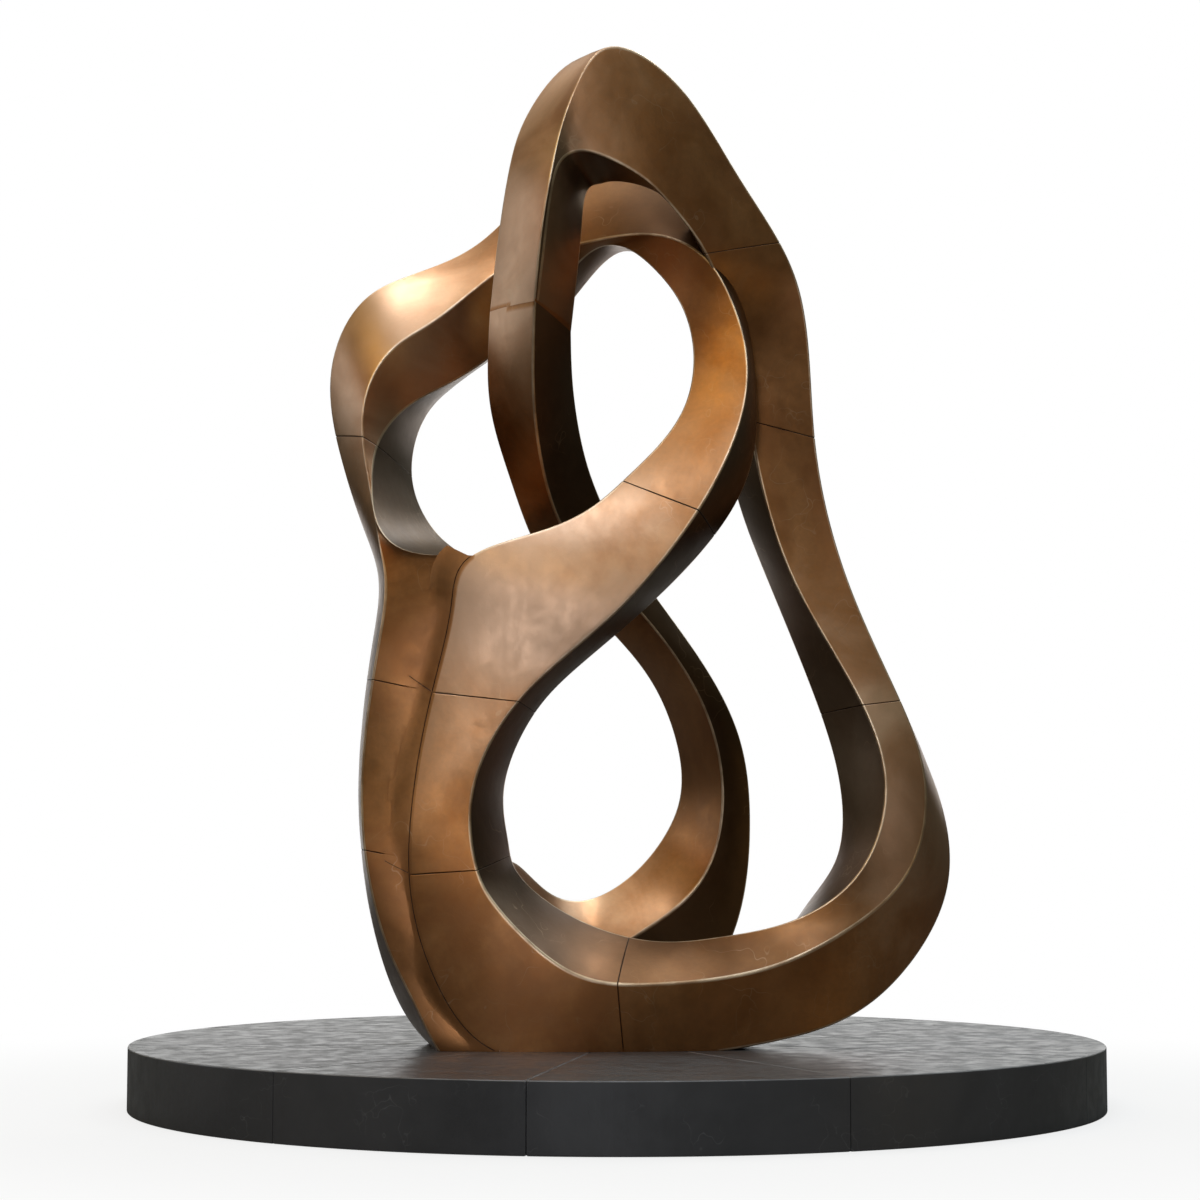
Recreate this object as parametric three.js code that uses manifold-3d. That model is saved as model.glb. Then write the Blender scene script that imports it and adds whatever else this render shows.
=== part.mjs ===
// Abstract bronze sculpture on a round stone plinth.
// One closed ribbon of metal with four crisp edges makes two turns and joins itself.
// Units are millimetres, +Z is up, the viewer stands on the -Y side.
import * as THREE from 'three';
import { mergeVertices } from 'three/addons/utils/BufferGeometryUtils.js';
import Module from 'manifold-3d';

const wasm = await Module();
wasm.setup();

// Plinth
const plinthRadius = 1225;
const plinthHeight = 158;
const jointWidth = 2;
const arcStep = THREE.MathUtils.degToRad(4);
// Directions of the upright joints, in degrees from the front, positive towards the right.
const jointDirections = [-38, -9, 24, 64, 100, 136, 172, 208, 245, 284];

// Ribbon
const restGap = 0.3;
const ringStep = 58;
const stepsAcrossFace = 3;
const faceCrown = 0.02;
const tenonLength = 40;
const tenonScale = 0.85;

// Sections of the ribbon in the order in which it runs: from the joint on the front limb over
// the apex, down the right limb, along the ground, up the column and the diagonal into the ring,
// then down the left limb and the column again, along the back and up into the front limb.
// Each row is a name, the place of the leading edge, and the ways from it to the other three
// edges: the one across the side face, the far one, and the one across the front face.
const sections = [
  ['front limb joint', [-205, -245, 2015], [5, 10, -5], [90, 135, -55], [-120, 140, 0]],
  ['front limb top', [-190, -285, 2165], [10, 10, 0], [100, 135, 20], [-115, 140, 15]],
  ['arch start', [-160, -270, 2360], [10, 5, -10], [80, 130, -60], [-110, 140, 50]],
  ['left shoulder', [-135, -230, 2480], [15, -5, -85], [70, 125, -140], [-100, 150, 50]],
  ['crown', [-100, -200, 2585], [15, -25, -180], [60, 105, -235], [-70, 155, 55]],
  ['apex', [-40, -160, 2685], [0, -60, -290], [30, 80, -325], [-40, 145, 25]],
  ['right shoulder', [130, -105, 2640], [-55, -95, -305], [-40, 45, -295], [-30, 135, 0]],
  ['right limb 1', [225, -80, 2530], [-80, -90, -260], [-65, 50, -230], [-30, 135, 5]],
  ['right limb 2', [320, -50, 2380], [-100, -85, -205], [-105, 55, -170], [-35, 130, 0]],
  ['right limb 3', [470, -10, 2115], [-165, -25, -155], [-190, 85, -140], [-30, 130, -5]],
  ['right limb 4', [515, 5, 1710], [-160, -15, -25], [-220, 120, -35], [-30, 140, 5]],
  ['right limb 5', [600, -20, 1320], [-150, -20, 20], [-210, 140, 40], [-35, 160, 0]],
  ['right limb 6', [715, -90, 1030], [-110, -20, 10], [-205, 145, 10], [10, 175, -15]],
  ['right bend 1', [775, -160, 795], [-105, -35, 5], [-205, 145, 10], [55, 170, -25]],
  ['right bend 2', [720, -225, 585], [-115, -25, 10], [-165, 170, 30], [110, 150, -65]],
  ['right bend 3', [570, -285, 450], [-110, 15, 30], [-115, 260, 10], [105, 95, -150]],
  ['front base 1', [345, -340, 350], [-80, 90, 80], [-45, 335, -155], [75, 25, -165]],
  ['front base 2', [80, -405, 320], [-15, 200, 100], [5, 360, -195], [10, 20, -180]],
  ['front base 3', [-130, -415, 360], [-5, 245, 130], [-35, 320, -205], [-45, 15, -225]],
  ['column foot', [-285, -395, 500], [35, 240, 90], [-60, 270, -195], [-85, 5, -280]],
  ['column 1', [-335, -375, 585], [65, 225, 75], [-95, 250, -105], [-140, 5, -160]],
  ['column 2', [-350, -340, 785], [70, 200, 20], [-115, 220, -20], [-150, 0, -45]],
  ['column 3', [-250, -330, 990], [50, 185, 0], [-160, 215, 55], [-205, 15, 30]],
  ['diagonal 1', [-140, -330, 1100], [40, 170, -5], [-175, 210, 140], [-268, 15, 135]],
  ['diagonal 2', [-35, -340, 1190], [35, 175, -10], [-160, 220, 145], [-332, 20, 166]],
  ['diagonal 3', [60, -340, 1285], [40, 175, -15], [-125, 220, 140], [-235, 25, 145]],
  ['diagonal 4', [215, -320, 1495], [40, 170, -55], [-115, 225, 110], [-190, 50, 70]],
  ['ring 1', [315, -270, 1725], [35, 165, -80], [-105, 230, 45], [-150, 65, 15]],
  ['ring 2', [330, -235, 1845], [30, 160, -55], [-100, 235, 35], [-135, 80, 15]],
  ['ring 3', [290, -150, 2045], [35, 140, 30], [-70, 220, 20], [-130, 95, 10]],
  ['ring 4', [235, -100, 2150], [30, 135, 85], [-65, 215, 0], [-130, 95, -10]],
  ['ring 5', [155, -45, 2215], [25, 130, 150], [-50, 195, -15], [-110, 75, -15]],
  ['ring top', [55, 5, 2240], [10, 130, 215], [-35, 180, -5], [-65, 55, -15]],
  ['ring 6', [-95, 50, 2225], [-5, 125, 240], [5, 175, -80], [10, 45, -25]],
  ['ring 7', [-220, 50, 2195], [-15, 135, 190], [40, 185, -150], [40, 60, -105]],
  ['left limb 1', [-320, 25, 2140], [-40, 140, 120], [40, 205, -155], [35, 75, -165]],
  ['left limb 2', [-485, -40, 1995], [-75, 145, 155], [55, 240, -120], [50, 85, -140]],
  ['left limb 3', [-565, -70, 1935], [-90, 140, 155], [75, 260, -120], [45, 90, -130]],
  ['left limb 4', [-645, -120, 1765], [-100, 140, 110], [105, 295, -85], [40, 50, -70]],
  ['left waist', [-625, -165, 1565], [-85, 155, 75], [100, 325, -5], [5, 5, 0]],
  ['crotch 1', [-590, -240, 1390], [-55, 200, 60], [145, 375, 55], [85, -45, -15]],
  ['crotch 2', [-575, -275, 1295], [-35, 220, 45], [195, 395, 80], [285, -46, 60]],
  ['left panel 1', [-590, -299, 1140], [-30, 224, 35], [200, 409, 45], [215, -10, 40]],
  ['left panel 2', [-625, -304, 850], [-25, 219, 10], [160, 419, 0], [150, -21, 0]],
  ['left panel 3', [-613, -340, 625], [-27, 240, 0], [133, 470, -25], [133, -9, -10]],
  ['left foot 1', [-551, -359, 395], [-39, 249, -25], [136, 539, 25], [106, -11, 3]],
  ['left foot 2', [-489, -371, 270], [-26, 251, -60], [134, 601, 110], [119, -8, -8]],
  ['left foot 3', [-420, -379, 148], [-5, 304, -28], [110, 679, 242], [135, -3, -5]],
  ['back base 1', [-240, -115, 215], [-35, 190, -120], [15, 500, 195], [-45, 175, 385]],
  ['back base 2', [-135, 55, 295], [-10, 135, -200], [15, 420, 125], [-45, 190, 235]],
  ['back base 3', [40, 215, 410], [35, 75, -250], [25, 340, -30], [-35, 195, 135]],
  ['inner limb 1', [215, 300, 545], [80, 45, -170], [30, 290, -15], [-75, 165, 150]],
  ['inner limb 2', [285, 315, 770], [75, 35, -55], [-10, 260, 35], [-110, 140, 100]],
  ['inner limb 3', [245, 290, 995], [75, 40, -20], [-30, 235, 35], [-130, 120, 65]],
  ['inner limb 4', [135, 240, 1185], [60, 55, 10], [-30, 210, 15], [-120, 100, 10]],
  ['inner limb 5', [-5, 180, 1340], [65, 65, 40], [-5, 185, -15], [-90, 70, -40]],
  ['front limb 1', [-140, 30, 1475], [100, 90, 80], [5, 170, -15], [-80, 70, -25]],
  ['front limb 2', [-180, -40, 1580], [105, 105, 65], [0, 165, -15], [-95, 65, 15]],
  ['front limb 3', [-210, -170, 1805], [100, 130, 25], [-10, 165, 0], [-120, 105, 10]],
  ['front limb end', [-205, -245, 2015], [90, 135, -55], [-15, 135, -30], [-120, 140, 0]],
];

const bronze = new THREE.MeshStandardMaterial({ color: 0x8a5a2e, roughness: 0.38, metalness: 1 });
const stone = new THREE.MeshStandardMaterial({ color: 0x2b2b2d, roughness: 0.6, metalness: 0 });

// The four corners of one row as vectors.
function cornersOf([, edge, ...ways]) {
  const start = new THREE.Vector3(...edge);
  return [start, ...ways.map((way) => start.clone().add(new THREE.Vector3(...way)))];
}

// A natural cubic spline through rows of numbers at the given knots.
function smoothThrough(knots, rows) {
  const last = knots.length - 1;
  const bend = rows.map((row) => row.map(() => 0));
  const weight = knots.map(() => 0);
  for (let i = 1; i < last; i++) {
    const before = knots[i] - knots[i - 1];
    const after = knots[i + 1] - knots[i];
    const pivot = 2 * (before + after) - before * weight[i - 1];
    weight[i] = after / pivot;
    rows[i].forEach((value, c) => {
      const slopes = (rows[i + 1][c] - value) / after - (value - rows[i - 1][c]) / before;
      bend[i][c] = (6 * slopes - before * bend[i - 1][c]) / pivot;
    });
  }
  for (let i = last - 1; i > 0; i--) {
    bend[i] = bend[i].map((value, c) => value - weight[i] * bend[i + 1][c]);
  }
  return (place) => {
    let i = 0;
    while (i < last - 1 && knots[i + 1] < place) i++;
    const span = knots[i + 1] - knots[i];
    const b = (place - knots[i]) / span;
    const a = 1 - b;
    return rows[i].map((value, c) => a * value + b * rows[i + 1][c]
      + ((a ** 3 - a) * bend[i][c] + (b ** 3 - b) * bend[i + 1][c]) * span ** 2 / 6);
  };
}

// Places along the ribbon: the running mean length of its four edges.
const corners = sections.map(cornersOf);
const places = [0];
for (let i = 1; i < corners.length; i++) {
  const lengths = corners[i].map((corner, k) => corner.distanceTo(corners[i - 1][k]));
  places.push(places[i - 1] + lengths.reduce((sum, length) => sum + length) / 4);
}
const placeOf = (name) => places[sections.findIndex((row) => row[0] === name)];
const edgesAt = smoothThrough(places, corners.map((set) => set.flatMap((v) => v.toArray())));

// One closed ring of points round the ribbon, with each face slightly crowned.
function ringAt(place) {
  const values = edgesAt(place);
  const quad = [0, 3, 6, 9].map((k) => new THREE.Vector3(values[k], values[k + 1], values[k + 2]));
  const centre = quad.reduce((sum, v) => sum.add(v), new THREE.Vector3()).divideScalar(4);
  const ring = [];
  quad.forEach((from, k) => {
    const across = quad[(k + 1) % 4].clone().sub(from);
    const width = across.length();
    const along = across.clone().divideScalar(width);
    const outward = from.clone().addScaledVector(across, 0.5).sub(centre);
    outward.addScaledVector(along, -outward.dot(along)).normalize();
    for (let step = 0; step < stepsAcrossFace; step++) {
      const share = step / stepsAcrossFace;
      const rise = 4 * share * (1 - share) * faceCrown * width;
      ring.push(from.clone().addScaledVector(across, share).addScaledVector(outward, rise));
    }
  });
  return ring;
}

const middleOf = (ring) => ring.reduce((sum, v) => sum.add(v), new THREE.Vector3())
  .divideScalar(ring.length);

// Two smaller rings that carry an end of a strand on, inside the strand that it meets.
function tenon(ring, next) {
  const centre = middleOf(ring);
  const away = centre.clone().sub(middleOf(next)).setLength(tenonLength);
  const neck = ring.map((v) => v.clone().sub(centre).multiplyScalar(tenonScale).add(centre));
  return [neck, neck.map((v) => v.clone().add(away))];
}

// A closed strand of the ribbon between two named sections, as a solid. The two strands share
// the section at the top of the ring, and each has a tenon where they meet on the front limb.
function strand(fromName, toName) {
  const from = placeOf(fromName);
  const to = placeOf(toName);
  const count = Math.round((to - from) / ringStep);
  const rings = [];
  for (let i = 0; i <= count; i++) rings.push(ringAt(from + ((to - from) * i) / count));
  const all = [...rings];
  if (from === 0) all.unshift(...tenon(rings[0], rings[1]).reverse());
  else all.push(...tenon(rings[count], rings[count - 1]));

  const size = all[0].length;
  const points = all.flat().flatMap((v) => v.toArray());
  const faces = [];
  for (let i = 0; i < all.length - 1; i++) {
    for (let k = 0; k < size; k++) {
      const next = (k + 1) % size;
      const [a, b] = [i * size + k, i * size + next];
      faces.push(a, b, b + size, a, b + size, a + size);
    }
  }
  const end = (all.length - 1) * size;
  for (let k = 1; k < size - 1; k++) {
    faces.push(0, k + 1, k);
    faces.push(end, end + k, end + k + 1);
  }
  return new wasm.Manifold(new wasm.Mesh({
    numProp: 3,
    vertProperties: new Float32Array(points),
    triVerts: new Uint32Array(faces),
  }));
}

function solidOf(geometry) {
  geometry.deleteAttribute('normal');
  geometry.deleteAttribute('uv');
  const merged = mergeVertices(geometry);
  return new wasm.Manifold(new wasm.Mesh({
    numProp: 3,
    vertProperties: new Float32Array(merged.attributes.position.array),
    triVerts: new Uint32Array(merged.index.array),
  }));
}

function geometryOf(solid) {
  const mesh = solid.getMesh();
  const geometry = new THREE.BufferGeometry();
  geometry.setAttribute('position', new THREE.BufferAttribute(mesh.vertProperties, 3));
  geometry.setIndex(new THREE.BufferAttribute(mesh.triVerts, 1));
  geometry.computeVertexNormals();
  return geometry;
}

// The whole ribbon: two strands joined at the top of the ring and on the front limb,
// cut flat where they stand on the plinth.
function bronzeBand() {
  const outer = strand('front limb joint', 'ring top');
  const inner = strand('ring top', 'front limb end');
  const below = new THREE.BoxGeometry(2 * plinthRadius, 2 * plinthRadius, plinthRadius);
  below.translate(0, 0, plinthHeight + restGap - plinthRadius / 2);
  const mesh = new THREE.Mesh(geometryOf(outer.add(inner).subtract(solidOf(below))), bronze);
  mesh.name = 'bronze_band';
  return mesh;
}

// One wedge of the plinth between two joints, with half a joint taken off each side.
function plinthSlab(index) {
  const toAngle = (degrees) => THREE.MathUtils.degToRad(degrees - 90);
  const wraps = index === jointDirections.length - 1;
  const from = toAngle(jointDirections[index]);
  const to = wraps ? toAngle(jointDirections[0] + 360) : toAngle(jointDirections[index + 1]);
  const trim = Math.asin(jointWidth / 2 / plinthRadius);
  const tip = jointWidth / 2 / Math.sin((to - from) / 2);
  const middle = (from + to) / 2;
  const outline = new THREE.Shape();
  outline.moveTo(tip * Math.cos(middle), tip * Math.sin(middle));
  outline.lineTo(plinthRadius * Math.cos(from + trim), plinthRadius * Math.sin(from + trim));
  outline.absarc(0, 0, plinthRadius, from + trim, to - trim, false);
  outline.closePath();
  const geometry = new THREE.ExtrudeGeometry(outline, {
    depth: plinthHeight,
    bevelEnabled: false,
    curveSegments: Math.ceil((to - from) / arcStep),
  });
  const mesh = new THREE.Mesh(geometry, stone);
  mesh.name = `plinth_slab_${index + 1}`;
  return mesh;
}

const sculpture = new THREE.Group();
sculpture.name = 'sculpture';
sculpture.add(bronzeBand());
jointDirections.forEach((_, index) => sculpture.add(plinthSlab(index)));

export default sculpture;
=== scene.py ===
# %% [markdown]
# # A bronze ribbon on a stone plinth
#
# The object is a tall abstract sculpture. One ribbon of bronze with four crisp edges runs through
# two turns and joins itself, and it stands on a round plinth of ten dark stone slabs. Its look
# comes from three things: bright polished edges, a cloudy brown patina that mirrors the studio,
# and the thin weld lines where its lengths were joined.

# %% Set up the frame
import math

import bmesh
import bpy
import numpy as np
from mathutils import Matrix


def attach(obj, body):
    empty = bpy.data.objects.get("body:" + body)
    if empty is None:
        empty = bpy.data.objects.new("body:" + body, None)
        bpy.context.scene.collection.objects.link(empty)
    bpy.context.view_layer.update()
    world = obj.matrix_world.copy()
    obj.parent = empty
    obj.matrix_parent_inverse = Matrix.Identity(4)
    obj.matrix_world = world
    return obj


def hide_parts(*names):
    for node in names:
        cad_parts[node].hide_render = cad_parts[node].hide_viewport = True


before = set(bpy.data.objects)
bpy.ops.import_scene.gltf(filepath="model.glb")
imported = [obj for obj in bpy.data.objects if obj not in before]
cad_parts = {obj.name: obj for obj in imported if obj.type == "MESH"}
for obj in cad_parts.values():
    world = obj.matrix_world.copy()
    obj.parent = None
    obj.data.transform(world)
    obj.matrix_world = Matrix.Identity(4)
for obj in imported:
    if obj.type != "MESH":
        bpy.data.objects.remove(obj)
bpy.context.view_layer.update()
MM = 0.001
print("solids:", sorted(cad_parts))

# %% [markdown]
# ## Where the viewer stands
#
# A long lens seen from about seven metres keeps the verticals nearly parallel, as in a catalogue
# picture. The camera is near the ground and looks slightly up, so the plinth's top shows as a
# narrow ellipse. These values were found by matching the plinth's rims and the ribbon's top.

# %% Camera
sensor_mm = 36.0
lens_mm = 82.62
viewer_place = (-0.0074, -7.072, 0.644)
upward_tilt = 0.09
sideways_turn = 0.0049

camera_data = bpy.data.cameras.new("viewer")
camera_data.sensor_width = sensor_mm
camera_data.lens = lens_mm
camera = bpy.data.objects.new("viewer", camera_data)
camera.location = viewer_place
camera.rotation_euler = (math.pi / 2 + upward_tilt, 0.0, sideways_turn)
bpy.context.scene.collection.objects.link(camera)
bpy.context.scene.camera = camera
print("camera at", tuple(camera.location), "lens", camera_data.lens)

# %% [markdown]
# ## The ribbon's sections
#
# The real ribbon is a square tube that widens, narrows and twists. It could be made
# from curves and a profile, but a twisting profile with four separate edges is easier to hold
# when each edge is named. Each row gives one section: its name, the place of the leading edge in
# millimetres, and the ways from it to the edge across the side face, to the far edge, and to the
# edge across the front face. The rows are the same as those of the solid part.

# %% Sections
# Every row gives the leading, side, far and front edges, in this order.
LEADING, FRONT = 0, 3
sections = [
    ("front limb joint", (-205, -245, 2015), (5, 10, -5), (90, 135, -55), (-120, 140, 0)),
    ("front limb top", (-190, -285, 2165), (10, 10, 0), (100, 135, 20), (-115, 140, 15)),
    ("arch start", (-160, -270, 2360), (10, 5, -10), (80, 130, -60), (-110, 140, 50)),
    ("left shoulder", (-135, -230, 2480), (15, -5, -85), (70, 125, -140), (-100, 150, 50)),
    ("crown", (-100, -200, 2585), (15, -25, -180), (60, 105, -235), (-70, 155, 55)),
    ("apex", (-40, -160, 2685), (0, -60, -290), (30, 80, -325), (-40, 145, 25)),
    ("right shoulder", (130, -105, 2640), (-55, -95, -305), (-40, 45, -295), (-30, 135, 0)),
    ("right limb 1", (225, -80, 2530), (-80, -90, -260), (-65, 50, -230), (-30, 135, 5)),
    ("right limb 2", (320, -50, 2380), (-100, -85, -205), (-105, 55, -170), (-35, 130, 0)),
    ("right limb 3", (470, -10, 2115), (-165, -25, -155), (-190, 85, -140), (-30, 130, -5)),
    ("right limb 4", (515, 5, 1710), (-160, -15, -25), (-220, 120, -35), (-30, 140, 5)),
    ("right limb 5", (600, -20, 1320), (-150, -20, 20), (-210, 140, 40), (-35, 160, 0)),
    ("right limb 6", (715, -90, 1030), (-110, -20, 10), (-205, 145, 10), (10, 175, -15)),
    ("right bend 1", (775, -160, 795), (-105, -35, 5), (-205, 145, 10), (55, 170, -25)),
    ("right bend 2", (720, -225, 585), (-115, -25, 10), (-165, 170, 30), (110, 150, -65)),
    ("right bend 3", (570, -285, 450), (-110, 15, 30), (-115, 260, 10), (105, 95, -150)),
    ("front base 1", (345, -340, 350), (-80, 90, 80), (-45, 335, -155), (75, 25, -165)),
    ("front base 2", (80, -405, 320), (-15, 200, 100), (5, 360, -195), (10, 20, -180)),
    ("front base 3", (-130, -415, 360), (-5, 245, 130), (-35, 320, -205), (-45, 15, -225)),
    ("column foot", (-285, -395, 500), (35, 240, 90), (-60, 270, -195), (-85, 5, -280)),
    ("column 1", (-335, -375, 585), (65, 225, 75), (-95, 250, -105), (-140, 5, -160)),
    ("column 2", (-350, -340, 785), (70, 200, 20), (-115, 220, -20), (-150, 0, -45)),
    ("column 3", (-250, -330, 990), (50, 185, 0), (-160, 215, 55), (-205, 15, 30)),
    ("diagonal 1", (-140, -330, 1100), (40, 170, -5), (-175, 210, 140), (-268, 15, 135)),
    ("diagonal 2", (-35, -340, 1190), (35, 175, -10), (-160, 220, 145), (-332, 20, 166)),
    ("diagonal 3", (60, -340, 1285), (40, 175, -15), (-125, 220, 140), (-235, 25, 145)),
    ("diagonal 4", (215, -320, 1495), (40, 170, -55), (-115, 225, 110), (-190, 50, 70)),
    ("ring 1", (315, -270, 1725), (35, 165, -80), (-105, 230, 45), (-150, 65, 15)),
    ("ring 2", (330, -235, 1845), (30, 160, -55), (-100, 235, 35), (-135, 80, 15)),
    ("ring 3", (290, -150, 2045), (35, 140, 30), (-70, 220, 20), (-130, 95, 10)),
    ("ring 4", (235, -100, 2150), (30, 135, 85), (-65, 215, 0), (-130, 95, -10)),
    ("ring 5", (155, -45, 2215), (25, 130, 150), (-50, 195, -15), (-110, 75, -15)),
    ("ring top", (55, 5, 2240), (10, 130, 215), (-35, 180, -5), (-65, 55, -15)),
    ("ring 6", (-95, 50, 2225), (-5, 125, 240), (5, 175, -80), (10, 45, -25)),
    ("ring 7", (-220, 50, 2195), (-15, 135, 190), (40, 185, -150), (40, 60, -105)),
    ("left limb 1", (-320, 25, 2140), (-40, 140, 120), (40, 205, -155), (35, 75, -165)),
    ("left limb 2", (-485, -40, 1995), (-75, 145, 155), (55, 240, -120), (50, 85, -140)),
    ("left limb 3", (-565, -70, 1935), (-90, 140, 155), (75, 260, -120), (45, 90, -130)),
    ("left limb 4", (-645, -120, 1765), (-100, 140, 110), (105, 295, -85), (40, 50, -70)),
    ("left waist", (-625, -165, 1565), (-85, 155, 75), (100, 325, -5), (5, 5, 0)),
    ("crotch 1", (-590, -240, 1390), (-55, 200, 60), (145, 375, 55), (85, -45, -15)),
    ("crotch 2", (-575, -275, 1295), (-35, 220, 45), (195, 395, 80), (285, -46, 60)),
    ("left panel 1", (-590, -299, 1140), (-30, 224, 35), (200, 409, 45), (215, -10, 40)),
    ("left panel 2", (-625, -304, 850), (-25, 219, 10), (160, 419, 0), (150, -21, 0)),
    ("left panel 3", (-613, -340, 625), (-27, 240, 0), (133, 470, -25), (133, -9, -10)),
    ("left foot 1", (-551, -359, 395), (-39, 249, -25), (136, 539, 25), (106, -11, 3)),
    ("left foot 2", (-489, -371, 270), (-26, 251, -60), (134, 601, 110), (119, -8, -8)),
    ("left foot 3", (-420, -379, 148), (-5, 304, -28), (110, 679, 242), (135, -3, -5)),
    ("back base 1", (-240, -115, 215), (-35, 190, -120), (15, 500, 195), (-45, 175, 385)),
    ("back base 2", (-135, 55, 295), (-10, 135, -200), (15, 420, 125), (-45, 190, 235)),
    ("back base 3", (40, 215, 410), (35, 75, -250), (25, 340, -30), (-35, 195, 135)),
    ("inner limb 1", (215, 300, 545), (80, 45, -170), (30, 290, -15), (-75, 165, 150)),
    ("inner limb 2", (285, 315, 770), (75, 35, -55), (-10, 260, 35), (-110, 140, 100)),
    ("inner limb 3", (245, 290, 995), (75, 40, -20), (-30, 235, 35), (-130, 120, 65)),
    ("inner limb 4", (135, 240, 1185), (60, 55, 10), (-30, 210, 15), (-120, 100, 10)),
    ("inner limb 5", (-5, 180, 1340), (65, 65, 40), (-5, 185, -15), (-90, 70, -40)),
    ("front limb 1", (-140, 30, 1475), (100, 90, 80), (5, 170, -15), (-80, 70, -25)),
    ("front limb 2", (-180, -40, 1580), (105, 105, 65), (0, 165, -15), (-95, 65, 15)),
    ("front limb 3", (-210, -170, 1805), (100, 130, 25), (-10, 165, 0), (-120, 105, 10)),
    ("front limb end", (-205, -245, 2015), (90, 135, -55), (-15, 135, -30), (-120, 140, 0)),
]
names = [row[0] for row in sections]
edges = np.array([row[1:] for row in sections], float) * MM
edges[:, 1:] += edges[:, :1]
steps = np.linalg.norm(np.diff(edges, axis=0), axis=2).mean(axis=1)
places = np.concatenate([[0.0], np.cumsum(steps)])
print("ribbon length along its middle: %.2f m" % places[-1])

# %% [markdown]
# ## Four smooth edges
#
# A natural cubic spline runs each edge through its rows without kinks, as a bent batten would.
# The bend at every row comes from one small set of equations, solved at once for all edges.

# %% Spline through the sections
def bends_through(knots, rows):
    """Second derivatives of the natural cubic spline: each row's bend and its neighbours' bends,
    weighted by the spans between them, add up to six times the change of slope there."""
    span = np.diff(knots)
    slope = np.diff(rows, axis=0) / span[:, None]
    count = len(knots)
    inner = np.arange(1, count - 1)
    balance = np.eye(count)
    balance[inner, inner - 1] = span[:-1]
    balance[inner, inner] = 2 * (span[:-1] + span[1:])
    balance[inner, inner + 1] = span[1:]
    pull = np.zeros_like(rows)
    pull[1:-1] = 6 * np.diff(slope, axis=0)
    return np.linalg.solve(balance, pull)


flat_rows = edges.reshape(len(edges), 12)
flat_bends = bends_through(places, flat_rows)


def edges_at(place):
    """The four edge points at each place: between two rows, the straight mix of both plus the
    cubic part of each row's bend. Places may be any array, and the result adds four edges of
    three coordinates to its shape."""
    place = np.asarray(place, float)
    row = np.clip(np.searchsorted(places, place, "left") - 1, 0, len(places) - 2)
    span = (places[row + 1] - places[row])[..., None]
    later = (place - places[row])[..., None] / span
    sooner = 1 - later
    value = sooner * flat_rows[row] + later * flat_rows[row + 1]
    value += ((sooner ** 3 - sooner) * flat_bends[row]
              + (later ** 3 - later) * flat_bends[row + 1]) * span ** 2 / 6
    return value.reshape(place.shape + (4, 3))


def place_of(name):
    """The place of a named section, in metres along the ribbon."""
    return places[names.index(name)]


def unit(vectors):
    """Each vector divided by its own length."""
    return vectors / np.linalg.norm(vectors, axis=-1, keepdims=True)


print("top of the ribbon: %.3f m" % edges_at(np.linspace(0, places[-1], 4000))[..., 2].max())

# %% [markdown]
# ## Weld lines
#
# The ribbon is too long to make in one piece, so it was made in lengths and welded, and each weld
# was ground nearly flush. What is left is a fine dark line across the faces, often a little
# askew. A texture could draw it, but a real groove catches light and shade from every side. So
# each weld is a place on the ribbon with its own offset at each of the four edges. The rings of
# the mesh near it lean to follow it, and a few close rings sink to form the groove.

# %% Weld places
weld_reach = 0.3
weld_half_width = 2.2 * MM
weld_depth = 1.8 * MM
weld_clearance = 3 * weld_half_width
groove_rings = weld_half_width * np.array([-1.5, -1, 0, 1, 1.5])
# Each row, in millimetres: the nearest section, how far past it the weld runs, and how far ahead
# of that its ends lie on the leading, side, far and front edges.
welds = [
    ("right limb 2", 100, (80, -80, -80, 80)),
    ("right limb 4", -40, (45, -35, -50, 35)),
    ("right limb 6", 30, (-15, 10, 25, -20)),
    ("front base 2", 60, (25, -20, 0, 0)),
    ("column 1", 20, (-10, -90, 10, 90)),
    ("column 3", 5, (15, -15, -5, 0)),
    ("diagonal 4", -15, (-5, 5, 5, 0)),
    ("left limb 4", 80, (-10, 45, 0, -40)),
    ("left panel 1", 120, (-30, -10, 20, 20)),
    ("left panel 3", -10, (-5, -5, 0, 10)),
]
weld_places = np.array([place_of(name) + past * MM for name, past, _ in welds])
weld_leans = np.array([ahead for _, _, ahead in welds]) * MM


def weld_end(section, edge):
    """The place where the weld near a section meets one of the four edges."""
    row = [name for name, _, _ in welds].index(section)
    return weld_places[row] + weld_leans[row, edge]


def lean(place):
    """Place of each edge on the ring that has this nominal place: the place itself plus each
    weld's offset at that edge, faded by a raised cosine to nothing at the weld's reach."""
    away = np.clip(np.abs(place[:, None] - weld_places) / weld_reach, 0, 1)
    fade = 0.5 + 0.5 * np.cos(np.pi * away)
    return place[:, None] + fade @ weld_leans


def ring_places(start, end, step):
    """Even places from start to end, without those too near a weld, plus five close places
    across each weld for its groove."""
    even = np.linspace(start, end, int(round((end - start) / step)) + 1)
    inside = weld_places[(weld_places > start) & (weld_places < end)]
    clear = np.abs(even[:, None] - inside).min(axis=1) > weld_clearance
    groove = (inside[:, None] + groove_rings).ravel()
    return np.sort(np.concatenate([even[clear], groove]))


print("welds across the ribbon:", len(welds))
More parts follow.
